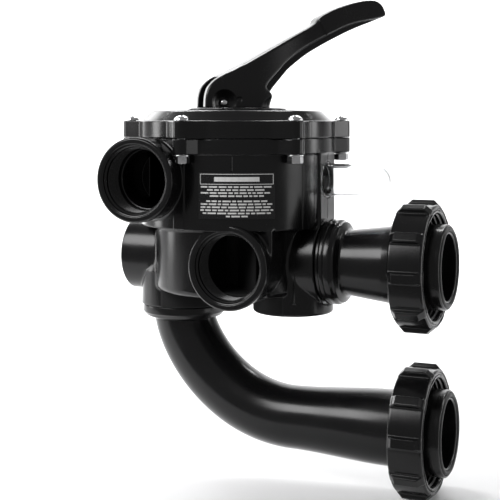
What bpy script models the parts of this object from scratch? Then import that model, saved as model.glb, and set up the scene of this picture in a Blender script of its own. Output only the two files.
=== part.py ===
"""Six-way multiport valve for a 2 inch pool filter, built as separate pieces.

Frame: +Z up along the rotor axis, +X out of the two unions towards the filter, -Y out of the
pump and return ports. The origin is the centre of the upper union's end face. Every piece is
modelled in the valve's own frame, whose origin is on the rotor axis at the height of the
lower ports, and hangs under the empty valve_axis.
"""

import math

import bmesh
import bpy
from mathutils import Matrix, Vector

MM = 0.001
GAP = 0.3 * MM

# Overall layout
ROTOR_X = -213 * MM
LOWER_UNION_Z = -152.4 * MM
UNION_END_X = 213 * MM

# Chamber, flange and cover
CHAMBER_R = 94.5 * MM
CHAMBER_BORE_R = 86 * MM
CHAMBER_LOW_Z = 33 * MM
SEAT_Z = 40 * MM
FLANGE_R = 96.5 * MM
FLANGE_LOW_Z = 103.7 * MM
FLANGE_TOP_Z = 118 * MM
COVER_RIM_TOP_Z = 135 * MM
COVER_TOP_Z = 144.6 * MM
COVER_TOP_R = 84 * MM
BOLT_COUNT = 6
BOLT_CIRCLE_R = 103.7 * MM
BOLT_FIRST_ANGLE = math.radians(25)
TAB_R = 9.5 * MM
BOLT_HOLE_R = 4.4 * MM
BOLT_R = 4 * MM

# Lower housing and its six sector pockets
HOUSING_R = 79.7 * MM
HOUSING_LOW_Z = -31 * MM
SECTOR_COUNT = 6
SECTOR_FIRST_ANGLE = math.radians(-82)
SECTOR_INNER_R = 16 * MM
SECTOR_OUTER_R = 74 * MM
SECTOR_WALL = 4 * MM
SECTOR_FLOOR_Z = -27 * MM

# Ports
PORT_R = 39.35 * MM
PORT_MOUTH_R = 30.5 * MM
PORT_BORE_R = 27 * MM
PORT_THREAD_DEPTH = 28 * MM
PUMP_X = -51 * MM
PUMP_Z = 80 * MM
PUMP_FACE_Y = -119 * MM
RETURN_X = 29 * MM
RETURN_FACE_Y = -89 * MM
WASTE_FACE_X = -112 * MM
WASTE_BARREL_R = 36.6 * MM
FILTER_BARREL_R = 40 * MM
FILTER_BARREL_X = 95 * MM
SOCKET_R = 36 * MM
SPIGOT_R = 35.6 * MM
COLLAR_R = 40.5 * MM
LEFT_STUB_X = -58 * MM
LEFT_STUB_R = 43 * MM
LEFT_STUB_Z = -48.7 * MM
RIGHT_STUB_X = 60 * MM
RIGHT_STUB_R = 39 * MM
RIGHT_STUB_Z = -50 * MM

# Sight glass
SIGHT_Z = 78 * MM
SIGHT_PAD_X = 95.5 * MM
SIGHT_HOLE_R = 13.5 * MM
SIGHT_SEAT_R = 17.6 * MM
SIGHT_SEAT_X = 90 * MM

# Rotor, stem and handle
STEM_R = 12 * MM
STEM_NECK_R = 9 * MM
STEM_NECK_Z = 141.5 * MM
STEM_BORE_R = 14.3 * MM
ROTOR_R = 83 * MM
ROTOR_LOW_Z = 42.3 * MM
ROTOR_TOP_Z = 50 * MM
HUB_R = 24 * MM
HUB_TOP_Z = 62 * MM
COVER_BOSS_Z = 125.7 * MM
HANDLE_ANGLE = math.radians(41)
PIN_T = -18 * MM
PIN_Z = 152.2 * MM
PIN_R = 3.2 * MM
HUB_LOW_Z = 147.3 * MM
WASHER_R = 15 * MM

# Unions
PIPE_R = 36 * MM
PIPE_END_X = 176.2 * MM
TAIL_R = 39.4 * MM
NUT_LOW_X = 170 * MM
NUT_HIGH_X = 202 * MM
NUT_R = 57 * MM
NUT_RIB_R = 61.7 * MM
NUT_RIB_COUNT = 10
NUT_THREAD_R = 49.5 * MM
UPPER_NUT_ANGLE = math.radians(94.5)
LOWER_NUT_ANGLE = math.radians(87.5)

# Facets round a full turn
LARGE = 36
MEDIUM = 20
SMALL = 8

AXIS_X = Vector((1, 0, 0))
AXIS_Y = Vector((0, 1, 0))
AXIS_Z = Vector((0, 0, 1))

VALVE_AXIS = None


# ---------------------------------------------------------------- shape helpers

def new_object(name, bm):
    """Turn a bmesh into a linked object with its faces pointing out."""
    bmesh.ops.recalc_face_normals(bm, faces=bm.faces)
    mesh = bpy.data.meshes.new(name)
    bm.to_mesh(mesh)
    bm.free()
    piece = bpy.data.objects.new(name, mesh)
    bpy.context.collection.objects.link(piece)
    return piece


def frame_matrix(centre, axis):
    """Matrix that takes local +Z to the given axis and the local origin to centre."""
    turn = AXIS_Z.rotation_difference(Vector(axis)).to_matrix().to_4x4()
    return Matrix.Translation(Vector(centre)) @ turn


def turned(profile, segments=32, centre=(0, 0, 0), axis=AXIS_Z):
    """Solid of revolution from a closed loop of (radius, height) points."""
    bm = bmesh.new()
    place = frame_matrix(centre, axis)
    rings = []
    for radius, height in profile:
        if radius == 0:
            rings.append([bm.verts.new(place @ Vector((0, 0, height)))])
            continue
        ring = []
        for step in range(segments):
            angle = 2 * math.pi * step / segments
            point = Vector((radius * math.cos(angle), radius * math.sin(angle), height))
            ring.append(bm.verts.new(place @ point))
        rings.append(ring)
    for index, ring in enumerate(rings):
        other = rings[(index + 1) % len(rings)]
        if len(ring) == 1 and len(other) == 1:
            continue
        for step in range(segments):
            after = (step + 1) % segments
            corners = []
            for vert in (ring[step % len(ring)], ring[after % len(ring)],
                         other[after % len(other)], other[step % len(other)]):
                if vert not in corners:
                    corners.append(vert)
            bm.faces.new(corners)
    return new_object("turned", bm)


def disc(radius, low, high, segments=32, centre=(0, 0, 0), axis=AXIS_Z, bevel=0.0):
    """Plain cylinder between two heights, with an optional chamfer at each end."""
    if bevel:
        profile = [(0, low), (radius - bevel, low), (radius, low + bevel),
                   (radius, high - bevel), (radius - bevel, high), (0, high)]
    else:
        profile = [(0, low), (radius, low), (radius, high), (0, high)]
    return turned(profile, segments, centre, axis)


def ring(inner, outer, low, high, segments=32, centre=(0, 0, 0), axis=AXIS_Z):
    """Flat ring with a square section."""
    profile = [(inner, low), (outer, low), (outer, high), (inner, high)]
    return turned(profile, segments, centre, axis)


def o_ring(mean_radius, section_radius, height, segments=32, centre=(0, 0, 0), axis=AXIS_Z):
    """Round-section ring seal."""
    sides = 6
    profile = []
    for step in range(sides):
        angle = 2 * math.pi * step / sides
        profile.append((mean_radius + section_radius * math.cos(angle),
                        height + section_radius * math.sin(angle)))
    return turned(profile, segments, centre, axis)


def box(low, high):
    """Box between two corners."""
    bm = bmesh.new()
    bmesh.ops.create_cube(bm, size=1)
    low = Vector(low)
    high = Vector(high)
    for vert in bm.verts:
        for k in range(3):
            vert.co[k] = low[k] if vert.co[k] < 0 else high[k]
    return new_object("box", bm)


def slab(outline, low, high, place=None):
    """Outline in the local XY plane, extruded between two local heights."""
    bm = bmesh.new()
    place = place or Matrix.Identity(4)
    bottom = [bm.verts.new(place @ Vector((x, y, low))) for x, y in outline]
    top = [bm.verts.new(place @ Vector((x, y, high))) for x, y in outline]
    bm.faces.new(list(reversed(bottom)))
    bm.faces.new(top)
    count = len(outline)
    for index in range(count):
        after = (index + 1) % count
        bm.faces.new([bottom[index], bottom[after], top[after], top[index]])
    return new_object("slab", bm)


def arc(radius, start, stop, steps, centre=(0.0, 0.0)):
    """Points on a circle from one angle to another, both ends included."""
    points = []
    for step in range(steps + 1):
        angle = start + (stop - start) * step / steps
        points.append((centre[0] + radius * math.cos(angle),
                       centre[1] + radius * math.sin(angle)))
    return points


def combine(target, tool, operation):
    """Boolean the tool into the target, apply it and delete the tool."""
    modifier = target.modifiers.new("combine", "BOOLEAN")
    modifier.operation = operation
    modifier.solver = "MANIFOLD"
    modifier.object = tool
    bpy.context.view_layer.update()
    graph = bpy.context.evaluated_depsgraph_get()
    mesh = bpy.data.meshes.new_from_object(target.evaluated_get(graph))
    target.modifiers.remove(modifier)
    old = target.data
    target.data = mesh
    bpy.data.meshes.remove(old)
    bpy.data.objects.remove(tool)
    return target


def join(target, *tools):
    for tool in tools:
        combine(target, tool, "UNION")
    return target


def cut(target, *tools):
    for tool in tools:
        combine(target, tool, "DIFFERENCE")
    return target


# ---------------------------------------------------------------- naming and placing

def material(name, colour, roughness, metallic=0.0, alpha=1.0):
    """One Principled BSDF material for each kind of surface."""
    existing = bpy.data.materials.get(name)
    if existing:
        return existing
    result = bpy.data.materials.new(name)
    result.use_nodes = True
    shader = result.node_tree.nodes["Principled BSDF"]
    shader.inputs["Base Color"].default_value = (*colour, 1)
    shader.inputs["Roughness"].default_value = roughness
    shader.inputs["Metallic"].default_value = metallic
    shader.inputs["Alpha"].default_value = alpha
    return result


def black_plastic():
    return material("black_plastic", (0.012, 0.012, 0.013), 0.28)


def steel():
    return material("steel", (0.62, 0.62, 0.64), 0.3, 1.0)


def rubber():
    return material("rubber", (0.02, 0.02, 0.02), 0.7)


def nylon():
    return material("nylon", (0.85, 0.84, 0.8), 0.5)


def clear_plastic():
    return material("clear_plastic", (0.93, 0.95, 0.96), 0.08, 0.0, 0.35)


def label_film():
    return material("label_film", (0.03, 0.03, 0.03), 0.45)


def finish(piece, name, surface, origin=(0, 0, 0)):
    """Name the piece, hang it under the valve axis and move its origin to a useful point."""
    piece.name = name
    piece.data.name = name
    piece.data.transform(Matrix.Translation(-Vector(origin)))
    piece.location = origin
    piece.parent = VALVE_AXIS
    piece.data.materials.clear()
    piece.data.materials.append(surface)
    piece.data.shade_smooth()
    piece.data.set_sharp_from_angle(angle=math.radians(32))
    return piece


# ---------------------------------------------------------------- body

def bolt_angles():
    return [BOLT_FIRST_ANGLE + 2 * math.pi * index / BOLT_COUNT for index in range(BOLT_COUNT)]


def bolt_centre(angle):
    return (BOLT_CIRCLE_R * math.cos(angle), BOLT_CIRCLE_R * math.sin(angle), 0)


def flange_outline():
    """Round flange with a bolt tab at each screw, its sides straight and its end round."""
    root_half = math.asin((TAB_R + 2 * MM) / FLANGE_R)
    pitch = 2 * math.pi / BOLT_COUNT
    points = []
    for angle in bolt_angles():
        cos = math.cos(angle)
        sin = math.sin(angle)
        for x, y in arc(TAB_R, -math.pi / 2, math.pi / 2, 4, (BOLT_CIRCLE_R, 0)):
            points.append((x * cos - y * sin, x * sin + y * cos))
        points += arc(FLANGE_R, angle + root_half, angle + pitch - root_half, 4)
    return points


def drill_bolt_holes(piece, low, high):
    for angle in bolt_angles():
        cut(piece, disc(BOLT_HOLE_R, low, high, SMALL, bolt_centre(angle)))


def sector_pocket(angle):
    """One of the six water sectors under the seat plate."""
    half = math.pi / SECTOR_COUNT
    inner = half - math.asin(SECTOR_WALL / 2 / SECTOR_INNER_R)
    outer = half - math.asin(SECTOR_WALL / 2 / SECTOR_OUTER_R)
    outline = arc(SECTOR_OUTER_R, -outer, outer, 5)
    outline += arc(SECTOR_INNER_R, inner, -inner, 2)
    return slab(outline, SECTOR_FLOOR_Z, SEAT_Z + 1 * MM, Matrix.Rotation(angle, 4, "Z"))


def port_barrel(length, centre, axis):
    """Threaded port's barrel, its mouth rim chamfered, running back from the face."""
    rim = 1.2 * MM
    profile = [(0, -length), (PORT_R - 1.5 * MM, -length), (PORT_R - 1.5 * MM, -12 * MM),
               (PORT_R, -10.5 * MM), (PORT_R, -rim), (PORT_R - rim, 0), (0, 0)]
    return turned(profile, MEDIUM, centre, axis)


def port_bore(depth, centre, axis):
    """Mouth step, thread length and the narrower bore behind it."""
    step = 3 * MM
    past = 1 * MM
    profile = [(0, past), (PORT_MOUTH_R + 2 * MM, past), (PORT_MOUTH_R + 2 * MM, -step),
               (PORT_MOUTH_R, -step), (PORT_MOUTH_R, -PORT_THREAD_DEPTH),
               (PORT_BORE_R, -PORT_THREAD_DEPTH), (PORT_BORE_R, -depth), (0, -depth)]
    return turned(profile, MEDIUM, centre, axis)


def make_valve_body():
    body = disc(CHAMBER_R, CHAMBER_LOW_Z, FLANGE_LOW_Z + 2 * MM, LARGE)
    join(body, slab(flange_outline(), FLANGE_LOW_Z, FLANGE_TOP_Z))
    join(body, disc(HOUSING_R, HOUSING_LOW_Z, CHAMBER_LOW_Z + 5 * MM, LARGE, bevel=4 * MM))
    pad_half = 20 * MM
    join(body, box((80 * MM, -pad_half, CHAMBER_LOW_Z + 1 * MM),
                   (SIGHT_PAD_X, pad_half, FLANGE_LOW_Z + 1 * MM)))

    pump_face = (PUMP_X, PUMP_FACE_Y, PUMP_Z)
    return_face = (RETURN_X, RETURN_FACE_Y, 0)
    waste_face = (WASTE_FACE_X, 0, 0)
    join(body, port_barrel(100 * MM, pump_face, -AXIS_Y))
    join(body, port_barrel(60 * MM, return_face, -AXIS_Y))
    join(body, disc(WASTE_BARREL_R, 42 * MM, -WASTE_FACE_X, MEDIUM, (0, 0, 0), -AXIS_X,
                    bevel=1.2 * MM))
    wall = PORT_R - 1.5 * MM
    join(body, box((RETURN_X - wall, -72 * MM, 0.5 * MM),
                   (RETURN_X + wall, -30 * MM, CHAMBER_LOW_Z + 3 * MM)))
    join(body, disc(FILTER_BARREL_R, 40 * MM, FILTER_BARREL_X, MEDIUM, (0, 0, 0), AXIS_X))
    join(body, disc(LEFT_STUB_R, LEFT_STUB_Z, -10 * MM, MEDIUM, (LEFT_STUB_X, 0, 0)))
    join(body, disc(RIGHT_STUB_R, RIGHT_STUB_Z, 8 * MM, MEDIUM, (RIGHT_STUB_X, 0, 0),
                    bevel=3 * MM))

    cut(body, disc(CHAMBER_BORE_R, SEAT_Z, FLANGE_TOP_Z + 1 * MM, LARGE))
    cut(body, ring(88.4 * MM, 92.6 * MM, 114.6 * MM, FLANGE_TOP_Z + 1 * MM, LARGE))
    for index in range(SECTOR_COUNT):
        cut(body, sector_pocket(SECTOR_FIRST_ANGLE + 2 * math.pi * index / SECTOR_COUNT))
    cut(body, port_bore(66 * MM, pump_face, -AXIS_Y))
    cut(body, port_bore(28.5 * MM, return_face, -AXIS_Y))
    cut(body, port_bore(29 * MM, waste_face, -AXIS_X))
    cut(body, box((-86 * MM, -25 * MM, -17 * MM), (-60 * MM, -13 * MM, 17 * MM)))
    cut(body, disc(COLLAR_R + 0.7 * MM, FILTER_BARREL_X, 102 * MM, MEDIUM, (0, 0, 0), AXIS_X))
    cut(body, disc(SOCKET_R, 84 * MM, FILTER_BARREL_X + 1 * MM, MEDIUM, (0, 0, 0), AXIS_X))
    cut(body, disc(PORT_BORE_R, 69 * MM, 85 * MM, MEDIUM, (0, 0, 0), AXIS_X))
    cut(body, disc(SOCKET_R, LEFT_STUB_Z - 1 * MM, -34 * MM, MEDIUM, (LEFT_STUB_X, 0, 0)))
    cut(body, box((-70 * MM, -5 * MM, -35 * MM), (-46 * MM, 22 * MM, -26 * MM)))
    sight = (0, 0, SIGHT_Z)
    cut(body, disc(SIGHT_HOLE_R, 80 * MM, SIGHT_PAD_X + 1 * MM, MEDIUM, sight, AXIS_X))
    cut(body, disc(SIGHT_SEAT_R, SIGHT_SEAT_X, SIGHT_PAD_X + 1 * MM, MEDIUM, sight, AXIS_X))
    drill_bolt_holes(body, FLANGE_LOW_Z - 1 * MM, FLANGE_TOP_Z + 1 * MM)
    finish(body, "valve_body", black_plastic())


def make_label():
    """Instruction label wrapped on the chamber between the pump port and the sight glass."""
    inner = CHAMBER_R + 0.6 * MM
    outer = inner + 0.5 * MM
    middle = math.radians(-66)
    half = math.radians(21.5)
    outline = arc(outer, middle - half, middle + half, 10)
    outline += arc(inner, middle + half, middle - half, 10)
    label = slab(outline, 45 * MM, 87.5 * MM)
    finish(label, "instruction_label", label_film())


# ---------------------------------------------------------------- cover and fasteners

def make_cover():
    """Lid: six-tab rim, coned top and an inner boss that carries the stem seals."""
    low = FLANGE_TOP_Z + GAP
    cover = slab(flange_outline(), low, COVER_RIM_TOP_Z - 0.5 * MM)
    dome = [(0, low + 5 * MM), (FLANGE_R - 0.5 * MM, low + 5 * MM),
            (FLANGE_R - 0.5 * MM, COVER_RIM_TOP_Z), (COVER_TOP_R, COVER_TOP_Z),
            (0, COVER_TOP_Z)]
    join(cover, turned(dome, LARGE))
    hollow = [(HUB_R, low - 1 * MM), (84 * MM, low - 1 * MM), (84 * MM, 130 * MM),
              (76 * MM, 137 * MM), (HUB_R, 137 * MM)]
    cut(cover, turned(hollow, LARGE))
    cut(cover, disc(HUB_R + 1 * MM, low - 2 * MM, COVER_BOSS_Z, LARGE))
    cut(cover, disc(STEM_BORE_R, COVER_BOSS_Z - 1 * MM, COVER_TOP_Z + 1 * MM, MEDIUM))
    drill_bolt_holes(cover, low - 1 * MM, COVER_RIM_TOP_Z + 1 * MM)
    finish(cover, "cover", black_plastic())


def make_cover_o_ring():
    finish(o_ring(90.5 * MM, 1.5 * MM, 116.4 * MM, LARGE), "cover_o_ring", rubber())


def make_screw(index, angle):
    seat = COVER_RIM_TOP_Z - 0.5 * MM + GAP
    profile = [(0, 92 * MM), (BOLT_R - 0.6 * MM, 92 * MM), (BOLT_R, 92.8 * MM), (BOLT_R, seat),
               (7.3 * MM, seat), (7.3 * MM, seat + 3 * MM), (5.2 * MM, seat + 5 * MM),
               (0, seat + 5.4 * MM)]
    centre = Vector(bolt_centre(angle))
    finish(turned(profile, SMALL, centre), "cover_screw_" + str(index), steel(), centre)


def make_washer(index, angle):
    high = FLANGE_LOW_Z - GAP
    centre = Vector(bolt_centre(angle))
    washer = ring(BOLT_R + GAP, 8.2 * MM, high - 1.2 * MM, high, SMALL, centre)
    finish(washer, "cover_washer_" + str(index), steel(), centre)


def make_hex_nut(index, angle):
    high = FLANGE_LOW_Z - GAP - 1.2 * MM - GAP
    corner_r = 13 * MM / 2 / math.cos(math.pi / 6)
    centre = Vector(bolt_centre(angle))
    nut = disc(corner_r, high - 6.4 * MM, high, 6, centre)
    cut(nut, disc(BOLT_R + GAP, high - 8 * MM, high + 1 * MM, SMALL, centre))
    finish(nut, "cover_nut_" + str(index), steel(), centre)


def make_index_plate():
    low = COVER_TOP_Z + GAP
    plate = ring(16 * MM, 49 * MM, low, low + 2 * MM, LARGE)
    finish(plate, "index_plate", black_plastic())


# ---------------------------------------------------------------- rotor and seals

def make_spider_gasket():
    gasket = disc(80 * MM, SEAT_Z + GAP, SEAT_Z + 2 * MM, LARGE)
    for index in range(SECTOR_COUNT):
        pocket = sector_pocket(SECTOR_FIRST_ANGLE + 2 * math.pi * index / SECTOR_COUNT)
        pocket.data.transform(Matrix.Translation((0, 0, 5 * MM)))
        cut(gasket, pocket)
    finish(gasket, "spider_gasket", rubber())


def make_rotor():
    """Diverter disc with its stem; the head above the dial holds the handle pin."""
    groove = STEM_R - 1.2 * MM
    profile = [(0, ROTOR_LOW_Z), (ROTOR_R, ROTOR_LOW_Z), (ROTOR_R, ROTOR_TOP_Z),
               (HUB_R + 6 * MM, ROTOR_TOP_Z), (HUB_R, HUB_TOP_Z), (STEM_R, HUB_TOP_Z)]
    for middle in (130 * MM, 136.5 * MM):
        profile += [(STEM_R, middle - 1.8 * MM), (groove, middle - 1.8 * MM),
                    (groove, middle + 1.8 * MM), (STEM_R, middle + 1.8 * MM)]
    profile += [(STEM_R, STEM_NECK_Z), (STEM_NECK_R, STEM_NECK_Z + 2 * MM),
                (STEM_NECK_R, 149.5 * MM), (0, 149.5 * MM)]
    rotor = turned(profile, LARGE)
    turn = Matrix.Rotation(HANDLE_ANGLE, 4, "Z")
    head = [(-25 * MM, -9 * MM), (8 * MM, -9 * MM), (12 * MM, -6 * MM), (12 * MM, 6 * MM),
            (8 * MM, 9 * MM), (-25 * MM, 9 * MM)]
    join(rotor, slab(head, 149 * MM, 162 * MM, turn))
    cut(rotor, disc(PIN_R + GAP, -12 * MM, 12 * MM, SMALL, turn @ Vector((PIN_T, 0, PIN_Z)),
                    turn @ AXIS_Y))
    for index in range(SECTOR_COUNT):
        web = box((HUB_R - 2 * MM, -1.5 * MM, ROTOR_TOP_Z - 1 * MM),
                  (76 * MM, 1.5 * MM, ROTOR_TOP_Z + 7 * MM))
        web.data.transform(Matrix.Rotation(SECTOR_FIRST_ANGLE + math.pi * (2 * index + 1)
                                           / SECTOR_COUNT, 4, "Z"))
        join(rotor, web)
    window = sector_pocket(SECTOR_FIRST_ANGLE)
    window.data.transform(Matrix.Diagonal((0.94, 0.94, 1, 1)))
    window.data.transform(Matrix.Translation((0, 0, 14 * MM)))
    cut(rotor, window)
    bridge = []
    for index in (2, 3):
        bridge.append(SECTOR_FIRST_ANGLE + 2 * math.pi * index / SECTOR_COUNT)
    outline = arc(70 * MM, bridge[0] - 0.4, bridge[1] + 0.4, 16)
    outline += arc(32 * MM, bridge[1] + 0.35, bridge[0] - 0.35, 10)
    cut(rotor, slab(outline, ROTOR_LOW_Z - 1 * MM, ROTOR_LOW_Z + 4.5 * MM))
    finish(rotor, "rotor", black_plastic())


def make_stem_seals():
    finish(o_ring(12.5 * MM, 1.45 * MM, 130 * MM, 20), "stem_o_ring_lower", rubber())
    finish(o_ring(12.5 * MM, 1.45 * MM, 136.5 * MM, 20), "stem_o_ring_upper", rubber())


def make_spring():
    """Helical return spring between the rotor's hub and the spring washer."""
    turns = 6
    steps = 11
    sides = 5
    wire = 2 * MM
    radius = 18.5 * MM
    low = HUB_TOP_Z + GAP + wire
    high = 122 * MM - wire
    bm = bmesh.new()
    count = turns * steps
    rings = []
    for step in range(count + 1):
        angle = 2 * math.pi * step / steps
        height = low + (high - low) * step / count
        outward = Vector((math.cos(angle), math.sin(angle), 0))
        loop = []
        for side in range(sides):
            phase = 2 * math.pi * side / sides
            point = outward * (radius + wire * math.cos(phase))
            point.z = height + wire * math.sin(phase)
            loop.append(bm.verts.new(point))
        rings.append(loop)
    for step in range(count):
        for side in range(sides):
            after = (side + 1) % sides
            bm.faces.new([rings[step][side], rings[step][after],
                          rings[step + 1][after], rings[step + 1][side]])
    bm.faces.new(rings[0])
    bm.faces.new(rings[-1])
    finish(new_object("spring", bm), "return_spring", steel())


def make_washers():
    steel_low = 122.3 * MM
    nylon_low = steel_low + 1.2 * MM + GAP
    finish(ring(STEM_R + GAP, 23 * MM, steel_low, steel_low + 1.2 * MM, MEDIUM),
           "spring_washer", steel())
    finish(ring(STEM_R + GAP, 23 * MM, nylon_low, COVER_BOSS_Z - GAP, MEDIUM),
           "bearing_washer", nylon())
    thrust_low = COVER_TOP_Z + GAP + 2 * MM + GAP
    finish(ring(STEM_R + 1 * MM, WASHER_R, thrust_low, thrust_low + 1.2 * MM, MEDIUM),
           "handle_thrust_washer", steel())


# ---------------------------------------------------------------- handle

def handle_arm_outline():
    """Side view of the lever: along the handle, then up, from the heel round to the rear."""
    return [(29 * MM, 156 * MM), (33 * MM, 165 * MM), (45 * MM, 179 * MM),
            (52 * MM, 187 * MM), (70 * MM, 201 * MM), (90 * MM, 212.5 * MM),
            (119 * MM, 227 * MM), (153 * MM, 240 * MM), (156 * MM, 243 * MM),
            (152 * MM, 252 * MM), (146 * MM, 256.5 * MM), (137 * MM, 257.5 * MM),
            (119 * MM, 253.5 * MM), (100 * MM, 247 * MM), (84 * MM, 239 * MM),
            (79 * MM, 231 * MM), (51 * MM, 216 * MM), (19 * MM, 198.5 * MM),
            (-8 * MM, 183 * MM), (-8 * MM, 165 * MM)]


def handle_hub_outline():
    """Side view of the fork's cheeks."""
    return [(-38 * MM, HUB_LOW_Z), (26 * MM, HUB_LOW_Z), (31 * MM, 151 * MM),
            (32 * MM, 159 * MM), (28.5 * MM, 166 * MM), (22 * MM, 196 * MM),
            (2 * MM, 190 * MM), (-14 * MM, 182.5 * MM), (-27 * MM, 175.5 * MM),
            (-34 * MM, 167 * MM)]


def make_handle():
    side = Matrix.Rotation(HANDLE_ANGLE, 4, "Z") @ Matrix.Rotation(math.pi / 2, 4, "X")
    turn = Matrix.Rotation(HANDLE_ANGLE, 4, "Z")
    cheek = 19 * MM
    arm = 12 * MM
    slot = 9.5 * MM
    handle = slab(handle_hub_outline(), -cheek, cheek, side)
    join(handle, slab(handle_arm_outline(), -arm, arm, side))
    opening = [(-45 * MM, 140 * MM), (14.5 * MM, 140 * MM), (14.5 * MM, 168 * MM),
               (-10 * MM, 172 * MM), (-45 * MM, 190 * MM)]
    cut(handle, slab(opening, -slot, slot, side))
    cut(handle, disc(WASHER_R + 1.5 * MM, HUB_LOW_Z - 1 * MM, HUB_LOW_Z + 2 * MM, MEDIUM))
    pin_centre = turn @ Vector((PIN_T, 0, PIN_Z))
    cut(handle, disc(PIN_R + GAP, -30 * MM, 30 * MM, SMALL, pin_centre, turn @ AXIS_Y))
    for direction in (-1, 1):
        cut(handle, disc(6 * MM, cheek - 2.5 * MM, cheek + 1 * MM, SMALL, pin_centre,
                         turn @ (AXIS_Y * direction)))
    finish(handle, "handle", black_plastic(), pin_centre)


def make_handle_pin():
    turn = Matrix.Rotation(HANDLE_ANGLE, 4, "Z")
    pin_centre = turn @ Vector((PIN_T, 0, PIN_Z))
    pin = disc(PIN_R, -17.5 * MM, 17.5 * MM, SMALL, pin_centre, turn @ AXIS_Y, bevel=0.6 * MM)
    finish(pin, "handle_pin", steel(), pin_centre)


# ---------------------------------------------------------------- sight glass

def make_sight_glass():
    """Clear domed cup; its open end's flange sits in the body's counterbore."""
    flange_r = 17.2 * MM
    outer = 15.5 * MM
    wall = 2 * MM
    low = 92.2 * MM
    shoulder = 142.5 * MM
    profile = [(outer - wall, low), (flange_r, low), (flange_r, low + 3 * MM),
               (outer, low + 3.8 * MM)]
    for radius, height in arc(outer, 0, math.pi / 2, 5, (0, shoulder))[:-1]:
        profile.append((radius, height))
    profile += [(0, shoulder + outer), (0, shoulder + outer - wall)]
    for radius, height in reversed(arc(outer - wall, 0, math.pi / 2, 5, (0, shoulder))[:-1]):
        profile.append((radius, height))
    sight = (0, 0, SIGHT_Z)
    finish(turned(profile, MEDIUM, sight, AXIS_X), "sight_glass", clear_plastic(), sight)
    seal = ring(13.9 * MM, 17.2 * MM, SIGHT_SEAT_X + GAP, low - GAP, MEDIUM, sight, AXIS_X)
    finish(seal, "sight_glass_gasket", rubber(), sight)


# ---------------------------------------------------------------- union pipes, tails, nuts

def make_upper_pipe():
    """Straight flaring pipe, spigot and collar at the valve end."""
    collar_x = FILTER_BARREL_X + GAP
    profile = [(PORT_BORE_R, 85 * MM), (SPIGOT_R, 85 * MM), (SPIGOT_R, collar_x),
               (38 * MM, collar_x), (38 * MM, 98.5 * MM), (COLLAR_R, 99.5 * MM),
               (COLLAR_R, 109 * MM), (38 * MM, 114 * MM), (30.5 * MM, 116 * MM),
               (PIPE_R, 158 * MM), (PIPE_R, PIPE_END_X), (30.5 * MM, PIPE_END_X),
               (30.5 * MM, 158 * MM), (PORT_BORE_R, 120 * MM)]
    pipe = turned(profile, MEDIUM, (0, 0, 0), AXIS_X)
    finish(pipe, "upper_union_pipe", black_plastic())


def elbow_point(share):
    """Centre line of the bend: a cubic curve from the stub down and out to the union."""
    points = [Vector((-58, 0, -58)), Vector((-54, 0, -90)), Vector((-10, 0, -152.4)),
              Vector((62, 0, -152.4))]
    rest = 1 - share
    weights = [rest ** 3, 3 * rest ** 2 * share, 3 * rest * share ** 2, share ** 3]
    total = Vector((0, 0, 0))
    for weight, point in zip(weights, points):
        total += weight * point
    return total * MM


def swept_tube(centres, outer_radii, inner_radii, segments):
    """Open-ended tube along a centre line in the XZ plane."""
    bm = bmesh.new()
    outer_rings = []
    inner_rings = []
    for index, centre in enumerate(centres):
        before = centres[max(index - 1, 0)]
        after = centres[min(index + 1, len(centres) - 1)]
        tangent = (after - before).normalized()
        up = AXIS_Y.cross(tangent).normalized()
        outer_ring = []
        inner_ring = []
        for step in range(segments):
            angle = 2 * math.pi * step / segments
            outward = AXIS_Y * math.cos(angle) + up * math.sin(angle)
            outer_ring.append(bm.verts.new(centre + outward * outer_radii[index]))
            inner_ring.append(bm.verts.new(centre + outward * inner_radii[index]))
        outer_rings.append(outer_ring)
        inner_rings.append(inner_ring)
    for rings in (outer_rings, inner_rings):
        for first, second in zip(rings, rings[1:]):
            for step in range(segments):
                after = (step + 1) % segments
                bm.faces.new([first[step], first[after], second[after], second[step]])
    for index in (0, -1):
        for step in range(segments):
            after = (step + 1) % segments
            bm.faces.new([outer_rings[index][step], outer_rings[index][after],
                          inner_rings[index][after], inner_rings[index][step]])
    return new_object("tube", bm)


def make_elbow_pipe():
    """Curved pipe from the left stub round to the lower union, flaring towards the union."""
    stations = 10
    centres = [Vector((LEFT_STUB_X, 0, -50 * MM))]
    outer = [30 * MM]
    for step in range(stations + 1):
        centres.append(elbow_point(step / stations))
        outer.append(30 * MM)
    for x, radius in ((100 * MM, 31.5 * MM), (135 * MM, 33.5 * MM), (158 * MM, 35 * MM),
                      (PIPE_END_X, 35 * MM)):
        centres.append(Vector((x, 0, LOWER_UNION_Z)))
        outer.append(radius)
    inner = [radius - 4 * MM for radius in outer]
    inner[-1] = 30.5 * MM
    inner[-2] = 30.5 * MM
    pipe = swept_tube(centres, outer, inner, MEDIUM)
    top = LEFT_STUB_Z - GAP
    profile = [(28 * MM, -38 * MM), (SPIGOT_R, -38 * MM), (SPIGOT_R, top), (41.5 * MM, top),
               (41.5 * MM, -57 * MM), (38 * MM, -60.5 * MM), (28 * MM, -60.5 * MM)]
    join(pipe, turned(profile, MEDIUM, (LEFT_STUB_X, 0, 0)))
    finish(pipe, "lower_elbow_pipe", black_plastic())


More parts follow.
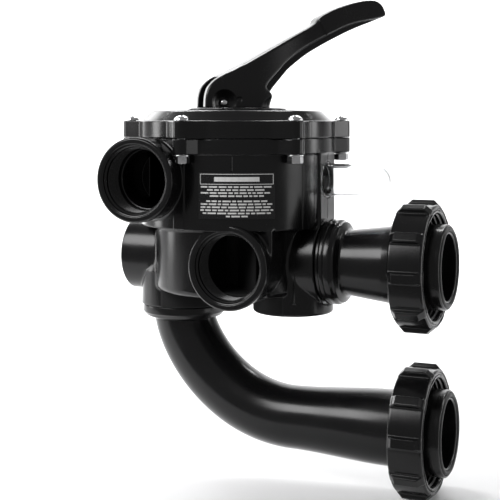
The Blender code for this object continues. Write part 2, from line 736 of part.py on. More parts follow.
def make_union_tail(name, height):
    """Union end glued into the pipe: shoulder behind the nut, ring and seal groove in front."""
    face = UNION_END_X
    start = PIPE_END_X + GAP
    profile = [(26 * MM, 166 * MM), (30.2 * MM, 166 * MM), (30.2 * MM, start),
               (45 * MM, start), (45 * MM, 183 * MM), (43.5 * MM, 183.8 * MM),
               (42.6 * MM, 183.8 * MM), (42.6 * MM, 189 * MM), (TAIL_R, 190 * MM),
               (TAIL_R, face - 1 * MM), (TAIL_R - 1 * MM, face), (37.2 * MM, face),
               (37.2 * MM, face - 2.6 * MM), (32.6 * MM, face - 2.6 * MM), (32.6 * MM, face),
               (31 * MM, face), (PORT_MOUTH_R, face - 0.8 * MM), (PORT_MOUTH_R, 192 * MM),
               (26 * MM, 188 * MM)]
    centre = Vector((0, 0, height))
    finish(turned(profile, MEDIUM, centre, AXIS_X), name, black_plastic(), centre)


def make_union_o_ring(name, height):
    centre = Vector((0, 0, height))
    seal = o_ring(34.9 * MM, 1.9 * MM, UNION_END_X - 0.3 * MM, MEDIUM, centre, AXIS_X)
    finish(seal, name, rubber(), centre)


def make_union_nut(name, height, first_rib):
    """Ribbed nut that turns freely on the pipe behind the tail's shoulder."""
    centre = Vector((0, 0, height))
    edge = 2 * MM
    profile = [(37 * MM, NUT_LOW_X), (NUT_R - edge, NUT_LOW_X), (NUT_R, NUT_LOW_X + edge),
               (NUT_R, NUT_HIGH_X - edge), (NUT_R - edge, NUT_HIGH_X),
               (NUT_THREAD_R, NUT_HIGH_X), (NUT_THREAD_R, NUT_LOW_X + 6 * MM),
               (37 * MM, NUT_LOW_X + 6 * MM)]
    nut = turned(profile, MEDIUM, centre, AXIS_X)
    half = 4.8 * MM
    for index in range(NUT_RIB_COUNT):
        angle = 2 * math.pi * index / NUT_RIB_COUNT + first_rib
        outline = [(NUT_LOW_X + 0.6 * MM, 52 * MM), (NUT_LOW_X + 0.6 * MM, 58.5 * MM),
                   (NUT_LOW_X + 4 * MM, NUT_RIB_R), (NUT_HIGH_X - 4 * MM, NUT_RIB_R),
                   (NUT_HIGH_X - 0.6 * MM, 58.5 * MM), (NUT_HIGH_X - 0.6 * MM, 52 * MM)]
        side = Matrix.Rotation(math.pi / 2, 4, "X")
        rib = slab(outline, -half, half, side)
        rib.data.transform(Matrix.Rotation(angle, 4, "X"))
        rib.data.transform(Matrix.Translation(centre))
        join(nut, rib)
    finish(nut, name, black_plastic(), centre)


# ---------------------------------------------------------------- build

def main():
    global VALVE_AXIS
    for old in list(bpy.data.objects):
        bpy.data.objects.remove(old)
    VALVE_AXIS = bpy.data.objects.new("valve_axis", None)
    bpy.context.collection.objects.link(VALVE_AXIS)
    VALVE_AXIS.location = (ROTOR_X, 0, 0)

    make_valve_body()
    make_label()
    make_cover()
    make_cover_o_ring()
    for index, angle in enumerate(bolt_angles(), start=1):
        make_screw(index, angle)
        make_washer(index, angle)
        make_hex_nut(index, angle)
    make_index_plate()
    make_spider_gasket()
    make_rotor()
    make_stem_seals()
    make_spring()
    make_washers()
    make_handle()
    make_handle_pin()
    make_sight_glass()
    make_upper_pipe()
    make_elbow_pipe()
    for name, height, first_rib in (("upper", 0.0, UPPER_NUT_ANGLE),
                                    ("lower", LOWER_UNION_Z, LOWER_NUT_ANGLE)):
        make_union_tail(name + "_union_tail", height)
        make_union_nut(name + "_union_nut", height, first_rib)
        make_union_o_ring(name + "_union_o_ring", height)


main()
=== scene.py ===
"""Looks of the six-way multiport valve: moulded black body, lid, lever, unions and their pipes.

Lengths are in millimetres in the valve's own frame until a piece is placed: the origin is on the
rotor axis at the height of the lower ports, +Z up, +X towards the filter unions and -Y out of the
pump and return ports. Moulded pieces come from distance fields, so their fillets and rounded
edges are real geometry; turned pieces come from profiles whose corners are rounded.
"""

import math

import bmesh
import bpy
import numpy as np
from mathutils import Matrix, Vector


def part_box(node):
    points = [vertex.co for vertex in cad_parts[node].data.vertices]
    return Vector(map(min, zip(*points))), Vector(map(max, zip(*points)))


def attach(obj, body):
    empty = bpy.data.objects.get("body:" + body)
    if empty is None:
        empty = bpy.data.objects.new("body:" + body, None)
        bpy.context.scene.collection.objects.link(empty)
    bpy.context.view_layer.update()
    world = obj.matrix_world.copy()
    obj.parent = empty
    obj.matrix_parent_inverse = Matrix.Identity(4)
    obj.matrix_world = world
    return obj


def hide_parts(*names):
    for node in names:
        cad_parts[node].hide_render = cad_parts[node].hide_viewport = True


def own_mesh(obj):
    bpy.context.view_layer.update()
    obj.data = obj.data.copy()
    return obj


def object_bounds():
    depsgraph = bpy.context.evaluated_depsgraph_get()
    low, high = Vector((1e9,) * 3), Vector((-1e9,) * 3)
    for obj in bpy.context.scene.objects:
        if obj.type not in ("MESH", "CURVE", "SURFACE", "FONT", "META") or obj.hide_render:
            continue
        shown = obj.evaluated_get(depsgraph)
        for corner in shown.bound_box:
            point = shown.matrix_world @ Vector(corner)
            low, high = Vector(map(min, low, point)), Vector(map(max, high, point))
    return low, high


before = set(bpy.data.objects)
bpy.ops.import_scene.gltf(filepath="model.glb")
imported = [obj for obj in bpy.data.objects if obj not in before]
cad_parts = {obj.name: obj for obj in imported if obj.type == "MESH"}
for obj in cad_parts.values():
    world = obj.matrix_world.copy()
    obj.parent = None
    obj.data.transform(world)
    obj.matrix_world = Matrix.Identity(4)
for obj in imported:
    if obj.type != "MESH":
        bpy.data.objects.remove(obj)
CAD_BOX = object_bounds()

MM = 0.001

# Where the valve's axis stands in the frame (metres)

dial_low, dial_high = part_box("index_plate")
VALVE = Vector(((dial_low.x + dial_high.x) / 2, 0, 0))


def span(node):
    """Lowest and highest corner of a node, in the valve's frame and in millimetres."""
    low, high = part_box(node)
    return (low - VALVE) / MM, (high - VALVE) / MM


# Sizes and angles that several pieces share (mm, radians)

nut_low, nut_high = span("lower_union_nut")
LOWER_Z = (nut_low.z + nut_high.z) / 2
HANDLE_ANGLE = math.radians(41)
BOLT_FIRST = math.radians(25)
BOLT_R = 103.7
BOLT_HOLE_R = 4.4
SECTOR_FIRST = math.radians(-82)
SIXTH = math.pi / 3


# ---------------------------------------------------------------- distance fields
# Each takes arrays of coordinates that broadcast together, in millimetres.

def blend_in(a, b, size):
    """Union with a fillet about as large as size."""
    gap = np.maximum(size - np.abs(a - b), 0) / size
    return np.minimum(a, b) - gap * gap * size / 4


def carve(a, b, size=0.8):
    """Take b out of a, with a rounded edge."""
    return -blend_in(-a, b, size)


def rounded_pair(u, v, edge):
    """Distance for two faces that meet at a rounded edge."""
    u = u + edge
    v = v + edge
    return np.minimum(np.maximum(u, v), 0) + np.hypot(np.maximum(u, 0), np.maximum(v, 0)) - edge


def cylinder(a, b, along, radius, low, high, edge=0.8):
    """Capped cylinder: a and b measure across its axis, along measures down it."""
    middle = (low + high) / 2
    half = (high - low) / 2
    return rounded_pair(np.hypot(a, b) - radius, np.abs(along - middle) - half, edge)


def block(x, y, z, low, high, edge=0.8):
    """Box with rounded edges between two corners."""
    across = []
    for value, start, stop in zip((x, y, z), low, high):
        across.append(np.abs(value - (start + stop) / 2) - (stop - start) / 2 + edge)
    outside = np.sqrt(sum(np.maximum(part, 0) ** 2 for part in across))
    inside = np.minimum(np.maximum(np.maximum(across[0], across[1]), across[2]), 0)
    return outside + inside - edge


def folded(x, y, first, count):
    """Coordinates along and across the nearest of count spokes, the first at angle first."""
    pitch = 2 * math.pi / count
    angle = np.arctan2(y, x) - first
    angle = (angle + pitch / 2) % pitch - pitch / 2
    radius = np.hypot(x, y)
    return radius * np.cos(angle), radius * np.sin(angle)


def plate(flat, z, low, high, edge=0.8):
    """Flat outline distance extruded between two heights."""
    return rounded_pair(flat, np.abs(z - (low + high) / 2) - (high - low) / 2, edge)


def polygon(u, v, points):
    """Signed distance to a closed outline in one plane."""
    nearest = None
    sign = None
    for index, (ax, ay) in enumerate(points):
        bx, by = points[index - 1]
        ex = bx - ax
        ey = by - ay
        wu = u - ax
        wv = v - ay
        share = np.clip((wu * ex + wv * ey) / (ex * ex + ey * ey), 0, 1)
        distance = (wu - ex * share) ** 2 + (wv - ey * share) ** 2
        nearest = distance if nearest is None else np.minimum(nearest, distance)
        above = v >= ay
        below = v < by
        left = ex * wv > ey * wu
        flip = (above & below & left) | (~above & ~below & ~left)
        side = np.where(flip, -1.0, 1.0)
        sign = side if sign is None else sign * side
    return sign * np.sqrt(nearest)


def net(field, low, high, cell):
    """Quads over the zero surface of a field, and its vertices settled onto that surface."""
    counts = [int(math.ceil((b - a) / cell)) + 1 for a, b in zip(low, high)]
    x, y, z = [a + cell * np.arange(n) for a, n in zip(low, counts)]
    values = np.empty(counts, np.float32)
    values[:] = field(x[:, None, None], y[None, :, None], z[None, None, :])
    inside = values < 0
    total = np.zeros([n - 1 for n in counts], np.int8)
    corners = [(i, j, k) for i in (0, 1) for j in (0, 1) for k in (0, 1)]
    for i, j, k in corners:
        total += inside[i:counts[0] - 1 + i, j:counts[1] - 1 + j, k:counts[2] - 1 + k]
    active = (total > 0) & (total < 8)
    cells = np.argwhere(active)
    index = np.full(total.shape, -1, np.int64)
    index[active] = np.arange(len(cells))
    points = np.zeros((len(cells), 3))
    hits = np.zeros(len(cells))
    for first in corners:
        for axis in range(3):
            if first[axis]:
                continue
            second = list(first)
            second[axis] = 1
            va = values[tuple((cells + first).T)]
            vb = values[tuple((cells + second).T)]
            crossing = (va < 0) != (vb < 0)
            share = np.where(crossing, va / np.where(crossing, va - vb, 1), 0)
            place = np.repeat([first], len(cells), 0).astype(float)
            place[:, axis] += share
            points += place * crossing[:, None]
            hits += crossing
    points = (cells + points / hits[:, None]) * cell + np.array(low)
    quads = []
    for axis in range(3):
        b = (axis + 1) % 3
        c = (axis + 2) % 3
        here = np.moveaxis(inside, (axis, b, c), (0, 1, 2))
        grid = np.moveaxis(index, (axis, b, c), (0, 1, 2))
        start = here[:-1, 1:-1, 1:-1]
        change = start != here[1:, 1:-1, 1:-1]
        i, j, k = np.nonzero(change)
        loop = np.stack([grid[i, j, k], grid[i, j + 1, k], grid[i, j + 1, k + 1],
                         grid[i, j, k + 1]], 1)
        outward = start[i, j, k]
        quads.append(np.where(outward[:, None], loop, loop[:, ::-1]))
    for _ in range(5):
        normal, value = slope(field, points)
        points -= np.clip(value, -cell, cell)[:, None] * normal
    return points, np.concatenate(quads), slope(field, points)[0]


def slope(field, points):
    """Unit normals of a field at points, and how far each point is from its zero surface."""
    step = 0.04
    value = np.broadcast_to(field(*points.T), len(points))
    gradient = np.empty_like(points)
    for axis in range(3):
        ahead = points.copy()
        ahead[:, axis] += step
        behind = points.copy()
        behind[:, axis] -= step
        gradient[:, axis] = (field(*ahead.T) - field(*behind.T)) / (2 * step)
    size = np.maximum(np.linalg.norm(gradient, axis=1), 0.2)
    return gradient / size[:, None], value / size


# ---------------------------------------------------------------- making and placing pieces

def linked(name, mesh):
    piece = bpy.data.objects.new(name, mesh)
    bpy.context.scene.collection.objects.link(piece)
    return piece


def moulded(name, field, low, high, cell, turn=None):
    """Piece from a distance field, its shading normals taken from the field itself."""
    points, quads, normals = net(field, low, high, cell)
    mesh = bpy.data.meshes.new(name)
    mesh.vertices.add(len(points))
    mesh.vertices.foreach_set("co", points.ravel())
    mesh.loops.add(quads.size)
    mesh.loops.foreach_set("vertex_index", quads.ravel())
    mesh.polygons.add(len(quads))
    mesh.polygons.foreach_set("loop_start", np.arange(0, quads.size, 4))
    mesh.update(calc_edges=True)
    mesh.validate()
    mesh.shade_smooth()
    if turn is not None:
        mesh.transform(turn)
        normals = normals @ np.array(turn.to_3x3()).T
    mesh.normals_split_custom_set_from_vertices(normals)
    return linked(name, mesh)


def place(piece, body, surface, slot, *nodes):
    """Finish a piece: real size, its place on the valve, its body and material. The slot argument
    is not used.
    """
    piece.data.transform(Matrix.Translation(VALVE) @ Matrix.Scale(MM, 4))
    piece.data.materials.clear()
    piece.data.materials.append(surface)
    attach(piece, body)
    if nodes:
        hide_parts(*nodes)
    return piece


def frame_matrix(centre, axis):
    """Matrix that takes local +Z to the given axis and the local origin to centre."""
    turn = Vector((0, 0, 1)).rotation_difference(Vector(axis)).to_matrix().to_4x4()
    return Matrix.Translation(Vector(centre)) @ turn


def eased(profile, edge, steps=3):
    """Closed loop of (radius, height) points with every corner off the axis rounded."""
    eased_points = []
    count = len(profile)
    for index, corner in enumerate(profile):
        corner = Vector(corner)
        if corner.x == 0:
            eased_points.append(tuple(corner))
            continue
        before = Vector(profile[index - 1]) - corner
        after = Vector(profile[(index + 1) % count]) - corner
        reach = min(edge, before.length * 0.45, after.length * 0.45)
        start = corner + before.normalized() * reach
        stop = corner + after.normalized() * reach
        for step in range(steps + 1):
            share = step / steps
            first = start.lerp(corner, share)
            second = corner.lerp(stop, share)
            eased_points.append(tuple(first.lerp(second, share)))
    return eased_points


def turned(name, profile, segments=96, centre=(0, 0, 0), axis=(0, 0, 1), edge=0.5):
    """Solid of revolution whose profile corners are rounded."""
    bm = bmesh.new()
    matrix = frame_matrix(centre, axis)
    rings = []
    for radius, height in eased(profile, edge) if edge else profile:
        if radius == 0:
            rings.append([bm.verts.new(matrix @ Vector((0, 0, height)))])
            continue
        loop = []
        for step in range(segments):
            angle = 2 * math.pi * step / segments
            point = Vector((radius * math.cos(angle), radius * math.sin(angle), height))
            loop.append(bm.verts.new(matrix @ point))
        rings.append(loop)
    for index, first in enumerate(rings):
        second = rings[(index + 1) % len(rings)]
        if len(first) == 1 and len(second) == 1:
            continue
        for step in range(segments):
            after = (step + 1) % segments
            corners = []
            for vert in (first[step % len(first)], first[after % len(first)],
                         second[after % len(second)], second[step % len(second)]):
                if vert not in corners:
                    corners.append(vert)
            bm.faces.new(corners)
    return from_bmesh(name, bm)


def bridge(bm, loops):
    """Quads between each closed loop of vertices and the next one."""
    for first, second in zip(loops, loops[1:]):
        for step in range(len(first)):
            after = (step + 1) % len(first)
            bm.faces.new([first[step], first[after], second[after], second[step]])


def skinned(bm, loops):
    """Closed body through a row of loops, with a face over each end."""
    bridge(bm, loops)
    bm.faces.new(loops[0])
    bm.faces.new(loops[-1])


def from_bmesh(name, bm, sharp=40):
    """Link a bmesh as a smooth-shaded piece with sharp edges above an angle in degrees."""
    bmesh.ops.recalc_face_normals(bm, faces=bm.faces)
    mesh = bpy.data.meshes.new(name)
    bm.to_mesh(mesh)
    bm.free()
    mesh.shade_smooth()
    mesh.set_sharp_from_angle(angle=math.radians(sharp))
    return linked(name, mesh)


def merged(name, *pieces):
    """One object out of several closed pieces."""
    bm = bmesh.new()
    for piece in pieces:
        mesh = piece.data
        bm.from_mesh(mesh)
        bpy.data.objects.remove(piece)
        bpy.data.meshes.remove(mesh)
    mesh = bpy.data.meshes.new(name)
    bm.to_mesh(mesh)
    bm.free()
    return linked(name, mesh)


# ---------------------------------------------------------------- materials

class Shading:
    """One node material: a Principled shader, with short ways to add and join nodes."""

    def __init__(self, name):
        self.material = bpy.data.materials.new(name)
        self.material.use_nodes = True
        self.nodes = self.material.node_tree.nodes
        self.shader = self.nodes["Principled BSDF"]
        self.place = self.add("ShaderNodeTexCoord").outputs["Object"]

    def add(self, kind, **settings):
        node = self.nodes.new(kind)
        for name, value in settings.items():
            if hasattr(node, name):
                setattr(node, name, value)
            else:
                node.inputs[name.replace("_", " ")].default_value = value
        return node

    def join(self, source, target):
        self.material.node_tree.links.new(source, target)

    def noise(self, scale, detail=3.0, roughness=0.5):
        node = self.add("ShaderNodeTexNoise", Scale=scale, Detail=detail, Roughness=roughness)
        self.join(self.place, node.inputs["Vector"])
        return node.outputs["Fac"]

    def ranged(self, source, from_low, from_high, to_low, to_high):
        node = self.add("ShaderNodeMapRange")
        for name, value in (("From Min", from_low), ("From Max", from_high),
                            ("To Min", to_low), ("To Max", to_high)):
            node.inputs[name].default_value = value
        self.join(source, node.inputs["Value"])
        return node.outputs["Result"]

    def colour_between(self, share, first, second):
        node = self.add("ShaderNodeMix", data_type="RGBA")
        node.inputs["A"].default_value = (*first, 1)
        node.inputs["B"].default_value = (*second, 1)
        self.join(share, node.inputs["Factor"])
        self.join(node.outputs["Result"], self.shader.inputs["Base Color"])

    def bumps(self, *layers):
        """Stack height layers, each a (source, strength, depth in metres)."""
        normal = None
        for source, strength, depth in layers:
            node = self.add("ShaderNodeBump", Strength=strength, Distance=depth)
            self.join(source, node.inputs["Height"])
            if normal is not None:
                self.join(normal, node.inputs["Normal"])
            normal = node.outputs["Normal"]
        self.join(normal, self.shader.inputs["Normal"])

    def constants(self, **values):
        for name, value in values.items():
            self.shader.inputs[name.replace("_", " ")].default_value = value


def black_plastic(name, colour, low, high, dull_inside=False):
    """Moulded black plastic: soft flow marks, a fine grain and paler rubbed edges.

    dull_inside leaves everything near the valve's axis as dull as it comes off a core.
    """
    look = Shading(name)
    flow = look.noise(28.0, 2.0)
    grain = look.noise(2600.0, 2.0, 0.6)
    rough = look.add("ShaderNodeMath", operation="ADD")
    look.join(look.ranged(flow, 0.3, 0.7, low, high), rough.inputs[0])
    look.join(look.ranged(grain, 0.3, 0.7, -0.02, 0.03), rough.inputs[1])
    look.join(rough.outputs[0], look.shader.inputs["Roughness"])
    if dull_inside:
        away = look.add("ShaderNodeVectorMath", operation="MULTIPLY_ADD")
        away.inputs[1].default_value = (1, 1, 0)
        away.inputs[2].default_value = -VALVE
        reach = look.add("ShaderNodeVectorMath", operation="LENGTH")
        worst = look.add("ShaderNodeMath", operation="MAXIMUM")
        look.join(look.place, away.inputs[0])
        look.join(away.outputs[0], reach.inputs[0])
        look.join(look.ranged(reach.outputs["Value"], 0.074, 0.077, 0.8, 0.0), worst.inputs[0])
        look.join(rough.outputs[0], worst.inputs[1])
        look.join(worst.outputs[0], look.shader.inputs["Roughness"])
    edges = look.add("ShaderNodeNewGeometry").outputs["Pointiness"]
    patchy = look.add("ShaderNodeMath", operation="MULTIPLY")
    look.join(look.ranged(edges, 0.52, 0.6, 0.0, 1.0), patchy.inputs[0])
    look.join(look.ranged(look.noise(180.0, 4.0), 0.42, 0.62, 0.0, 1.0), patchy.inputs[1])
    worn = tuple(channel * 2.6 for channel in colour)
    look.colour_between(patchy.outputs[0], colour, worn)
    look.bumps((look.noise(60.0, 1.0), 0.05, 0.0006), (grain, 0.12, 0.00003))
    look.constants(IOR=1.5, Specular_IOR_Level=0.38)
    return look.material


def steel(name, colour, low, high):
    """Plain stainless steel with fine turning marks and a little tarnish."""
    look = Shading(name)
    look.constants(Metallic=1.0)
    marks = look.noise(1400.0, 3.0, 0.7)
    tarnish = look.noise(90.0, 4.0)
    look.join(look.ranged(tarnish, 0.3, 0.75, low, high), look.shader.inputs["Roughness"])
    dull = tuple(channel * 0.72 for channel in colour)
    look.colour_between(look.ranged(tarnish, 0.45, 0.75, 0.0, 1.0), colour, dull)
    look.bumps((marks, 0.12, 0.00004))
    return look.material


def rubber(name):
    """Moulded rubber with a dusty bloom."""
    look = Shading(name)
    bloom = look.noise(70.0, 5.0)
    look.join(look.ranged(bloom, 0.3, 0.7, 0.42, 0.62), look.shader.inputs["Roughness"])
    look.colour_between(look.ranged(bloom, 0.4, 0.8, 0.0, 1.0), (0.012, 0.012, 0.012),
                        (0.024, 0.024, 0.025))
    look.bumps((look.noise(1900.0, 2.0), 0.15, 0.00004))
    return look.material


def nylon(name):
    """Natural nylon: warm white, slightly mottled."""
    look = Shading(name)
    mottle = look.noise(120.0, 3.0)
    look.join(look.ranged(mottle, 0.3, 0.7, 0.42, 0.56), look.shader.inputs["Roughness"])
    look.colour_between(mottle, (0.83, 0.81, 0.75), (0.88, 0.87, 0.83))
    look.bumps((look.noise(1500.0), 0.1, 0.00004))
    return look.material


def clear_plastic(name):
    """Clear polycarbonate with faint flow lines."""
    look = Shading(name)
    look.constants(Transmission_Weight=1.0, IOR=1.5)
    flow = look.noise(35.0, 2.0)
    look.join(look.ranged(flow, 0.3, 0.7, 0.03, 0.09), look.shader.inputs["Roughness"])
    look.colour_between(flow, (0.94, 0.955, 0.965), (0.98, 0.985, 0.985))
    look.bumps((flow, 0.06, 0.0006))
    return look.material


def film(name, colour, rough):
    """Printed label film or ink, slightly uneven."""
    look = Shading(name)
    fibre = look.noise(900.0, 4.0)
    look.join(look.ranged(fibre, 0.3, 0.7, rough - 0.05, rough + 0.07),
              look.shader.inputs["Roughness"])
    shade = tuple(channel * 0.86 for channel in colour)
    look.colour_between(look.ranged(look.noise(260.0, 3.0), 0.35, 0.8, 0.0, 1.0), colour, shade)
    look.bumps((fibre, 0.08, 0.00003))
    return look.material


PLASTIC_COLOUR = (0.0045, 0.0045, 0.0048)
BLACK = black_plastic("moulded_black", PLASTIC_COLOUR, 0.17, 0.24)
BLACK_BODY = black_plastic("moulded_body_black", PLASTIC_COLOUR, 0.17, 0.24, dull_inside=True)
BLACK_HANDLE = black_plastic("handle_black", PLASTIC_COLOUR, 0.2, 0.28)
STEEL = steel("stainless", (0.74, 0.74, 0.75), 0.16, 0.3)
SPRING_STEEL = steel("spring_wire", (0.55, 0.55, 0.57), 0.22, 0.36)
RUBBER = rubber("seal_rubber")
NYLON = nylon("natural_nylon")
CLEAR = clear_plastic("clear_cup")
FILM = film("label_backing", (0.006, 0.006, 0.0065), 0.26)
INK = film("label_ink", (0.82, 0.82, 0.81), 0.42)


# ---------------------------------------------------------------- valve body

PUMP = Vector((-51, -119, 80))
RETURN = Vector((29, -89, 0))
WASTE = Vector((-112, 0, 0))
WASTE_R = 36.6
BARREL_R = 37.85
COLLAR_R = 39.35
MOUTH_R = 30.5
SLEEVE_R = 33.2
THREAD_DEPTH = 28
BODY_FLARE = math.radians(63)


def flange_outline(x, y, flare):
    """Round flange with six bolt tabs that widen into it, seen from above.

    The flanks of a tab face flare (an angle) away from its own spoke.
    """
    along, across = folded(x, y, BOLT_FIRST, 6)
    out = along - BOLT_R
    across = np.abs(across)
    flank = out * math.cos(flare) + across * math.sin(flare)
    beside = across * math.cos(flare) > out * math.sin(flare)
    tab = np.where(beside, flank, np.hypot(out, across)) - 8.6
    return blend_in(np.hypot(x, y) - 96.5, np.maximum(tab, 60 - along), 1.6)


def sectors(x, y, z):
    """The six water sectors under the seat, with walls 4 mm thick between them."""
    along, across = folded(x, y, SECTOR_FIRST, 6)
    radius = np.hypot(x, y)
    wall = 2 - (along * math.sin(SIXTH / 2) - np.abs(across) * math.cos(SIXTH / 2))
    flat = np.maximum(np.maximum(radius - 74, 16 - radius), wall)
    return rounded_pair(flat, np.abs(z - 7) - 34, 1.5)


def body_outside(x, y, z):
    radius = np.hypot(x, y)
    chamber = cylinder(x, y, z, 94.5, 33, 106, 1.6)
    for start, stop in ((-25.5, -16), (-104, -97)):
        middle = math.radians((start + stop) / 2)
        along, across = folded(x, y, middle, 1)
        strip = np.maximum(radius - 95.2, np.abs(across) - 94.5 * math.radians(stop - start) / 2)
        strip = np.maximum(strip, np.maximum(-along, np.abs(z - 70) - 36))
        chamber = blend_in(chamber, strip, 0.7)
    along, across = folded(x, y, math.radians(-69), 1)
    seam = np.maximum(np.abs(across) - 0.5, np.abs(z - 97) - 8)
    seam = np.maximum(seam, np.maximum(radius - 95.1, -along))
    shape = blend_in(chamber, seam, 0.9)
    shape = blend_in(shape, plate(flange_outline(x, y, BODY_FLARE), z, 103.7, 118, 0.7), 2)
    shape = blend_in(shape, cylinder(x, y, z, 79.7, -31, 38, 6), 4)
    shape = blend_in(shape, block(x, y, z, (80, -20, 34), (95.5, 20, 104.7), 1.2), 2)
    seam = block(x, y, z, (90, -0.45, 40), (95.95, 0.45, 117.6), 0.3)
    shape = blend_in(shape, seam, 0.8)
    pump = cylinder(x - PUMP.x, z - PUMP.z, y, BARREL_R, -110, -19)
    shape = blend_in(shape, pump, 2.4)
    inlet = cylinder(x - RETURN.x, z, y, BARREL_R, -80, -29)
    saddle = block(x, y, z, (RETURN.x - BARREL_R, -72, 0.5), (RETURN.x + BARREL_R, -30, 36), 3)
    shape = blend_in(shape, blend_in(inlet, saddle, 2.5), 2.4)
    shape = blend_in(shape, cylinder(y, z, x, WASTE_R, -103, -47), 2.4)
    shape = blend_in(shape, cylinder(y, z, x, 40, 40, 94.8, 1.2), 2)
    left = cylinder(x + 58, y, z, 43 - 0.35 * np.maximum(z + 14, 0), -48.7, 4, 1.2)
    right = cylinder(x - 60, y, z, 39, -50, 8, 3)
    shape = blend_in(shape, left, 2.2)
    shape = blend_in(shape, right, 1.8)
    gusset = np.abs((x - 66) * 0.5 + (y + 30) * 0.866) - 1.4
    gusset = np.maximum(gusset, np.maximum(radius - 84, np.abs(z + 15) - 22))
    return blend_in(shape, np.maximum(gusset, 40 - x), 1.6)


def body_field(x, y, z):
    shape = body_outside(x, y, z)
    shape = carve(shape, cylinder(x, y, z, 86, 40, 125))
    groove = rounded_pair(np.abs(np.hypot(x, y) - 90.5) - 2.1, np.abs(z - 119) - 4.4, 0.3)
    shape = carve(shape, groove, 0.4)
    shape = carve(shape, sectors(x, y, z), 1.2)
    shape = carve(shape, cylinder(x - PUMP.x, z - PUMP.z, y, SLEEVE_R, -122, -91))
    shape = carve(shape, cylinder(x - PUMP.x, z - PUMP.z, y, 27, -93, -53), 2)
    shape = carve(shape, cylinder(x - RETURN.x, z, y, SLEEVE_R, -92, -61))
    shape = carve(shape, cylinder(x - RETURN.x, z, y, 27, -63, -55), 2)
    shape = carve(shape, cylinder(y, z, x, SLEEVE_R, -115, -84))
    shape = carve(shape, cylinder(y, z, x, 27, -90, -83), 2)
    shape = carve(shape, block(x, y, z, (-86, -25, -17), (-60, -13, 17)), 1.5)
    shape = carve(shape, cylinder(y, z, x, 41.2, 95, 102, 0.4))
    shape = carve(shape, cylinder(y, z, x, 36, 84, 98, 0.4))
    shape = carve(shape, cylinder(y, z, x, 27, 69, 86), 1.5)
    shape = carve(shape, cylinder(x + 58, y, z, 36, -52, -34, 0.4))
    shape = carve(shape, block(x, y, z, (-70, -5, -36), (-46, 22, -26)), 1.5)
    shape = carve(shape, cylinder(y, z - 78, x, 13.5, 80, 99))
    shape = carve(shape, cylinder(y, z - 78, x, 17.6, 90, 99, 0.4))
    along, across = folded(x, y, BOLT_FIRST, 6)
    return carve(shape, cylinder(along - BOLT_R, across, z, BOLT_HOLE_R, 100, 120, 0.3), 0.5)


def thread(radius, crest, pitch, low, high, centre, axis, steps=64):
    """Helical ridge standing inwards from a bore, fading out at both ends."""
    matrix = frame_matrix(centre, axis)
    bm = bmesh.new()
    rings = []
    count = int((high - low) / pitch * steps)
    for step in range(count + 1):
        angle = 2 * math.pi * step / steps
        height = low + pitch * step / steps
        rise = crest * min(1, step / steps, (count - step) / steps)
        loop = []
        for inward, offset in ((-0.4, -0.45), (rise, -0.08), (rise, 0.08), (-0.4, 0.45)):
            reach = radius - inward
            point = Vector((reach * math.cos(angle), reach * math.sin(angle),
                            height + offset * pitch))
            loop.append(bm.verts.new(matrix @ point))
        rings.append(loop)
    skinned(bm, rings)
    return from_bmesh("thread", bm, 25)


def port_mouth(name, centre, axis, barrel=BARREL_R - 0.4, collar=COLLAR_R):
    """Threaded sleeve of a port and the collar round its mouth."""
    profile = [(MOUTH_R, -THREAD_DEPTH), (SLEEVE_R, -THREAD_DEPTH), (SLEEVE_R, -12),
               (barrel, -12), (collar, -10.2), (collar, -1.6), (collar - 1.6, 0),
               (34.2, 0), (33.4, -0.9), (32.5, -1.2), (32.5, -3), (MOUTH_R, -4.4)]
    sleeve = turned("sleeve", profile, 112, centre, axis, 0.6)
    ridge = thread(MOUTH_R, 0.95, 2.21, -26.5, -5.5, centre, axis)
    place(merged(name, sleeve, ridge), "valve", BLACK, "black_plastic", "valve_body")


def make_body():
    low = (-112, -114, -52)
    high = (116, 116, 121)
    cell = 1.15
    body = moulded("valve_body_moulding", body_field, low, high, cell)
    place(body, "valve", BLACK_BODY, "black_plastic", "valve_body")
    port_mouth("pump_port_mouth", PUMP, (0, -1, 0))
    port_mouth("return_port_mouth", RETURN, (0, -1, 0))
    port_mouth("waste_port_mouth", WASTE, (-1, 0, 0), WASTE_R, WASTE_R)


make_body()


# ---------------------------------------------------------------- lid and its fasteners

LID_LOW = 118.3
LID_RIM = 135.0
LID_TOP = 144.6
BOLT_TOP = 134.8
LID_FLARE = math.radians(46)
BOLT_UNDER = 103.4


def lid_field(x, y, z):
    radius = np.hypot(x, y)
    rim = plate(flange_outline(x, y, LID_FLARE), z, LID_LOW, LID_RIM - 0.5, 0.9)
    wall = np.maximum(radius - 93.6, LID_LOW + 4 - z)
    cone = (9.6 * (radius - 93.4) + 9.6 * (z - LID_RIM)) / math.hypot(9.6, 9.6)
    dome = carve(wall, -cone, 1.2)
    dome = carve(dome, LID_TOP - z, 1.8)
    shape = blend_in(rim, dome, 1.2)
    ceiling = (9.6 * (radius - 84) + 12 * (z - 130)) / math.hypot(9.6, 12)
    hollow = np.maximum(np.maximum(radius - 84, ceiling), np.maximum(z - 137, 24 - radius))
    shape = carve(shape, np.maximum(hollow, LID_LOW - 2 - z), 1.0)
    shape = carve(shape, cylinder(x, y, z, 25, 110, 125.7), 0.8)
    shape = carve(shape, cylinder(x, y, z, 14.3, 120, 150, 0.4), 0.6)
    along, across = folded(x, y, BOLT_FIRST, 6)
    return carve(shape, cylinder(along - BOLT_R, across, z, BOLT_HOLE_R, 110, 140, 0.3), 0.5)


def make_lid():
    cell = 1.0
    lid = moulded("lid_moulding", lid_field, (-116, -116, 116), (116, 116, 147), cell)
    place(lid, "valve", BLACK, "black_plastic", "cover")


